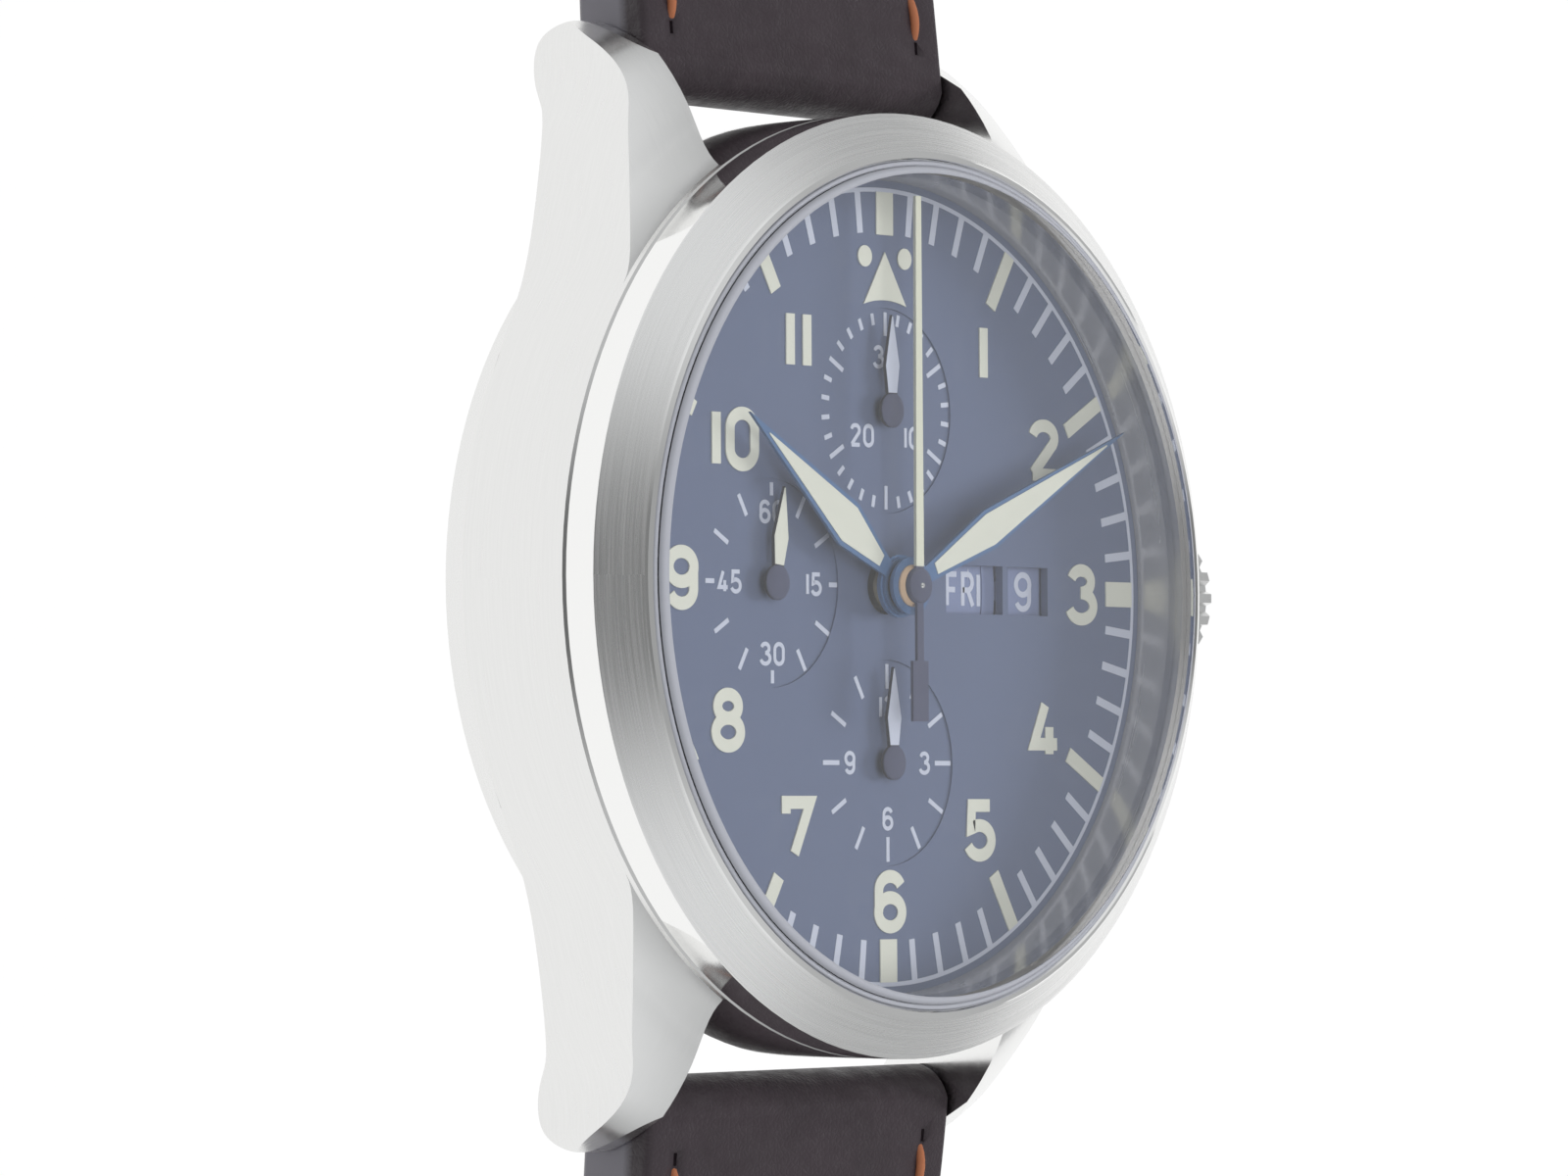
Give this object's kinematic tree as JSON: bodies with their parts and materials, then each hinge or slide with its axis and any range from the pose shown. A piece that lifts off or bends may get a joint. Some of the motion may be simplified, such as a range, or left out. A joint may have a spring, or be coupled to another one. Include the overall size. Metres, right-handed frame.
{
  "type": "chronograph wristwatch",
  "caption": "Round steel pilot's chronograph with a blue-grey dial, domed crystal, crown, pushers and an open leather strap with a pin buckle.",
  "frame": {"origin": "centre of the case back's resting face", "axes": "+Z out of the dial, +Y towards 12 o'clock along the open strap, +X towards 3 o'clock and the crown"},
  "size_m": [0.0476, 0.2559, 0.015],
  "materials": {
    "case_steel": "fine brushed flanks with polished bands",
    "back_steel": "satin",
    "polished_steel": "polished",
    "plain_steel": "turned",
    "sapphire": "clear, anti-reflex coated",
    "seal_rubber": "matte",
    "dial_blue": "fine matte",
    "disc_blue": "matte",
    "hand_blue": "satin blue",
    "hand_pale": "matte cream",
    "hand_black": "matte",
    "plate_steel": "rhodium plated, grained",
    "gear_brass": "gilt",
    "gear_steel": "polished steel",
    "blued_steel": "blued",
    "rotor_steel": "grained with a heavy rim",
    "ruby": "polished ruby",
    "strap_leather": "dark brown, smooth, tan stitching"
  },
  "bodies": {
    "case": {"case_middle": "case_steel", "bezel": "case_steel", "crystal": "sapphire", "crystal_gasket": "seal_rubber", "dial_ring": "polished_steel", "case_back_ring": "back_steel", "case_back_glass": "sapphire", "case_back_gasket": "seal_rubber", "crown_tube": "plain_steel", "pusher_tubes": "plain_steel", "start_pusher_spring": "plain_steel", "reset_pusher_spring": "plain_steel", "movement_ring": "plain_steel", "casing_screws": "blued_steel", "dial": "dial_blue", "main_plate": "plate_steel", "train_bridge": "plate_steel", "automatic_bridge": "plate_steel", "balance_cock": "plate_steel", "jewels": "ruby", "bridge_screws": "blued_steel", "hairspring": "blued_steel", "lug_spring_bars": "plain_steel"},
    "crown_sleeve": {"crown_gasket": "seal_rubber"},
    "crown": {"crown": "case_steel", "winding_stem": "plain_steel"},
    "start_pusher": {"start_pusher": "case_steel"},
    "reset_pusher": {"reset_pusher": "case_steel"},
    "minute_train": {"minute_hand": "hand_blue", "cannon_pinion": "gear_steel", "centre_wheel": "gear_brass"},
    "hour_train": {"hour_hand": "hand_blue", "hour_wheel": "gear_brass"},
    "minute_wheel": {"minute_wheel": "gear_brass"},
    "third_wheel": {"third_wheel": "gear_brass"},
    "small_seconds": {"fourth_wheel": "gear_brass", "small_seconds_hand": "hand_black"},
    "escape_wheel": {"escape_wheel": "gear_steel"},
    "barrel": {"barrel": "gear_brass", "mainspring": "gear_steel"},
    "barrel_arbor": {"barrel_arbor": "gear_steel", "ratchet_wheel": "gear_steel"},
    "chronograph_seconds": {"chronograph_runner": "gear_brass", "chronograph_seconds_hand": "hand_pale"},
    "minute_counter": {"minute_counter_wheel": "gear_brass", "minute_counter_hand": "hand_black"},
    "hour_counter": {"hour_counter_wheel": "gear_brass", "hour_counter_hand": "hand_black"},
    "rotor": {"rotor": "rotor_steel"},
    "balance": {"balance_wheel": "gear_brass"},
    "pallet_fork": {"pallet_fork": "gear_steel"},
    "date_ring": {"date_ring": "disc_blue"},
    "day_disc": {"day_disc": "disc_blue"},
    "upper_strap": {"upper_strap": "strap_leather", "fixed_keeper": "strap_leather", "buckle_spring_bar": "plain_steel"},
    "free_keeper": {"free_keeper": "strap_leather"},
    "buckle_frame": {"buckle_frame": "case_steel"},
    "buckle_tongue": {"buckle_tongue": "case_steel"},
    "lower_strap": {"lower_strap": "strap_leather"}
  },
  "joints": [
    {"name": "crown_pull", "type": "slide", "parent": "case", "child": "crown_sleeve", "axis": [1, 0, 0], "range_m": [0, 0.0009]},
    {"name": "crown_turn", "type": "hinge", "parent": "crown_sleeve", "child": "crown", "pos_m": [0.02235, 0, 0.007], "axis": [1, 0, 0], "continuous": true},
    {"name": "start_pusher_press", "type": "slide", "parent": "case", "child": "start_pusher", "axis": [-0.8526, -0.5225, 0], "range_m": [0, 0.0009], "stiffness_N_per_m": 1500, "springref_m": -0.0005, "deforming": ["start_pusher_spring"]},
    {"name": "reset_pusher_press", "type": "slide", "parent": "case", "child": "reset_pusher", "axis": [-0.8526, 0.5225, 0], "range_m": [0, 0.0009], "stiffness_N_per_m": 1500, "springref_m": -0.0005, "deforming": ["reset_pusher_spring"]},
    {"name": "minute_hand_turn", "type": "hinge", "parent": "case", "child": "minute_train", "pos_m": [0, 0, 0.0094], "axis": [0, 0, -1], "continuous": true},
    {"name": "hour_hand_turn", "type": "hinge", "parent": "case", "child": "hour_train", "pos_m": [0, 0, 0.0094], "axis": [0, 0, -1], "continuous": true},
    {"name": "minute_wheel_turn", "type": "hinge", "parent": "case", "child": "minute_wheel", "pos_m": [0.00276, -0.00231, 0.0094], "axis": [0, 0, -1], "continuous": true},
    {"name": "third_wheel_turn", "type": "hinge", "parent": "case", "child": "third_wheel", "pos_m": [-0.00455, 0.00292, 0.0094], "axis": [0, 0, -1], "continuous": true},
    {"name": "small_seconds_turn", "type": "hinge", "parent": "case", "child": "small_seconds", "pos_m": [-0.0082, 0, 0.0094], "axis": [0, 0, -1], "continuous": true},
    {"name": "escape_wheel_turn", "type": "hinge", "parent": "case", "child": "escape_wheel", "pos_m": [-0.0076, -0.00405, 0.0094], "axis": [0, 0, -1], "continuous": true},
    {"name": "barrel_turn", "type": "hinge", "parent": "case", "child": "barrel", "pos_m": [0.00591, 0.00321, 0.0094], "axis": [0, 0, -1], "continuous": true},
    {"name": "barrel_arbor_turn", "type": "hinge", "parent": "case", "child": "barrel_arbor", "pos_m": [0.00591, 0.00321, 0.0094], "axis": [0, 0, -1], "continuous": true},
    {"name": "chronograph_seconds_turn", "type": "hinge", "parent": "case", "child": "chronograph_seconds", "pos_m": [0, 0, 0.0094], "axis": [0, 0, -1], "continuous": true},
    {"name": "minute_counter_turn", "type": "hinge", "parent": "case", "child": "minute_counter", "pos_m": [0, 0.0082, 0.0094], "axis": [0, 0, -1], "continuous": true},
    {"name": "hour_counter_turn", "type": "hinge", "parent": "case", "child": "hour_counter", "pos_m": [0, -0.0082, 0.0094], "axis": [0, 0, -1], "continuous": true},
    {"name": "rotor_turn", "type": "hinge", "parent": "case", "child": "rotor", "pos_m": [0, 0, 0.0094], "axis": [0, 0, -1], "continuous": true},
    {"name": "balance_swing", "type": "hinge", "parent": "case", "child": "balance", "pos_m": [-0.004, -0.00931, 0.0094], "axis": [0, 0, -1], "range_deg": [-270, 270]},
    {"name": "pallet_fork_rock", "type": "hinge", "parent": "case", "child": "pallet_fork", "pos_m": [-0.00622, -0.00607, 0.0094], "axis": [0, 0, -1], "range_deg": [-5, 5]},
    {"name": "date_ring_turn", "type": "hinge", "parent": "case", "child": "date_ring", "pos_m": [0, 0, 0.0094], "axis": [0, 0, -1], "continuous": true},
    {"name": "day_disc_turn", "type": "hinge", "parent": "case", "child": "day_disc", "pos_m": [0, 0, 0.0094], "axis": [0, 0, -1], "continuous": true},
    {"name": "upper_strap_hinge", "type": "hinge", "parent": "case", "child": "upper_strap", "pos_m": [0, 0.0243, 0.0037], "axis": [1, 0, 0], "range_deg": [-80, 70]},
    {"name": "free_keeper_slide", "type": "slide", "parent": "upper_strap", "child": "free_keeper", "axis": [0, 1, 0], "range_m": [-0.005, 0.01]},
    {"name": "buckle_frame_hinge", "type": "hinge", "parent": "upper_strap", "child": "buckle_frame", "pos_m": [0, 0.0993, 0.0026], "axis": [1, 0, 0], "range_deg": [-70, 70]},
    {"name": "buckle_tongue_hinge", "type": "hinge", "parent": "buckle_frame", "child": "buckle_tongue", "pos_m": [0, 0.0993, 0.0026], "axis": [1, 0, 0], "range_deg": [0, 60]},
    {"name": "lower_strap_hinge", "type": "hinge", "parent": "case", "child": "lower_strap", "pos_m": [0, -0.0243, 0.0037], "axis": [-1, 0, 0], "range_deg": [-80, 70]}
  ],
  "couplings": [
    {"joint": "minute_wheel_turn", "follows": "minute_hand_turn", "ratio": -0.33333},
    {"joint": "hour_hand_turn", "follows": "minute_hand_turn", "ratio": 0.083333},
    {"joint": "third_wheel_turn", "follows": "minute_hand_turn", "ratio": -8},
    {"joint": "small_seconds_turn", "follows": "minute_hand_turn", "ratio": 60},
    {"joint": "escape_wheel_turn", "follows": "minute_hand_turn", "ratio": -720},
    {"joint": "barrel_turn", "follows": "minute_hand_turn", "ratio": -0.16667},
    {"joint": "minute_counter_turn", "follows": "chronograph_seconds_turn", "ratio": 0.033333},
    {"joint": "hour_counter_turn", "follows": "chronograph_seconds_turn", "ratio": 0.0013889}
  ]
}
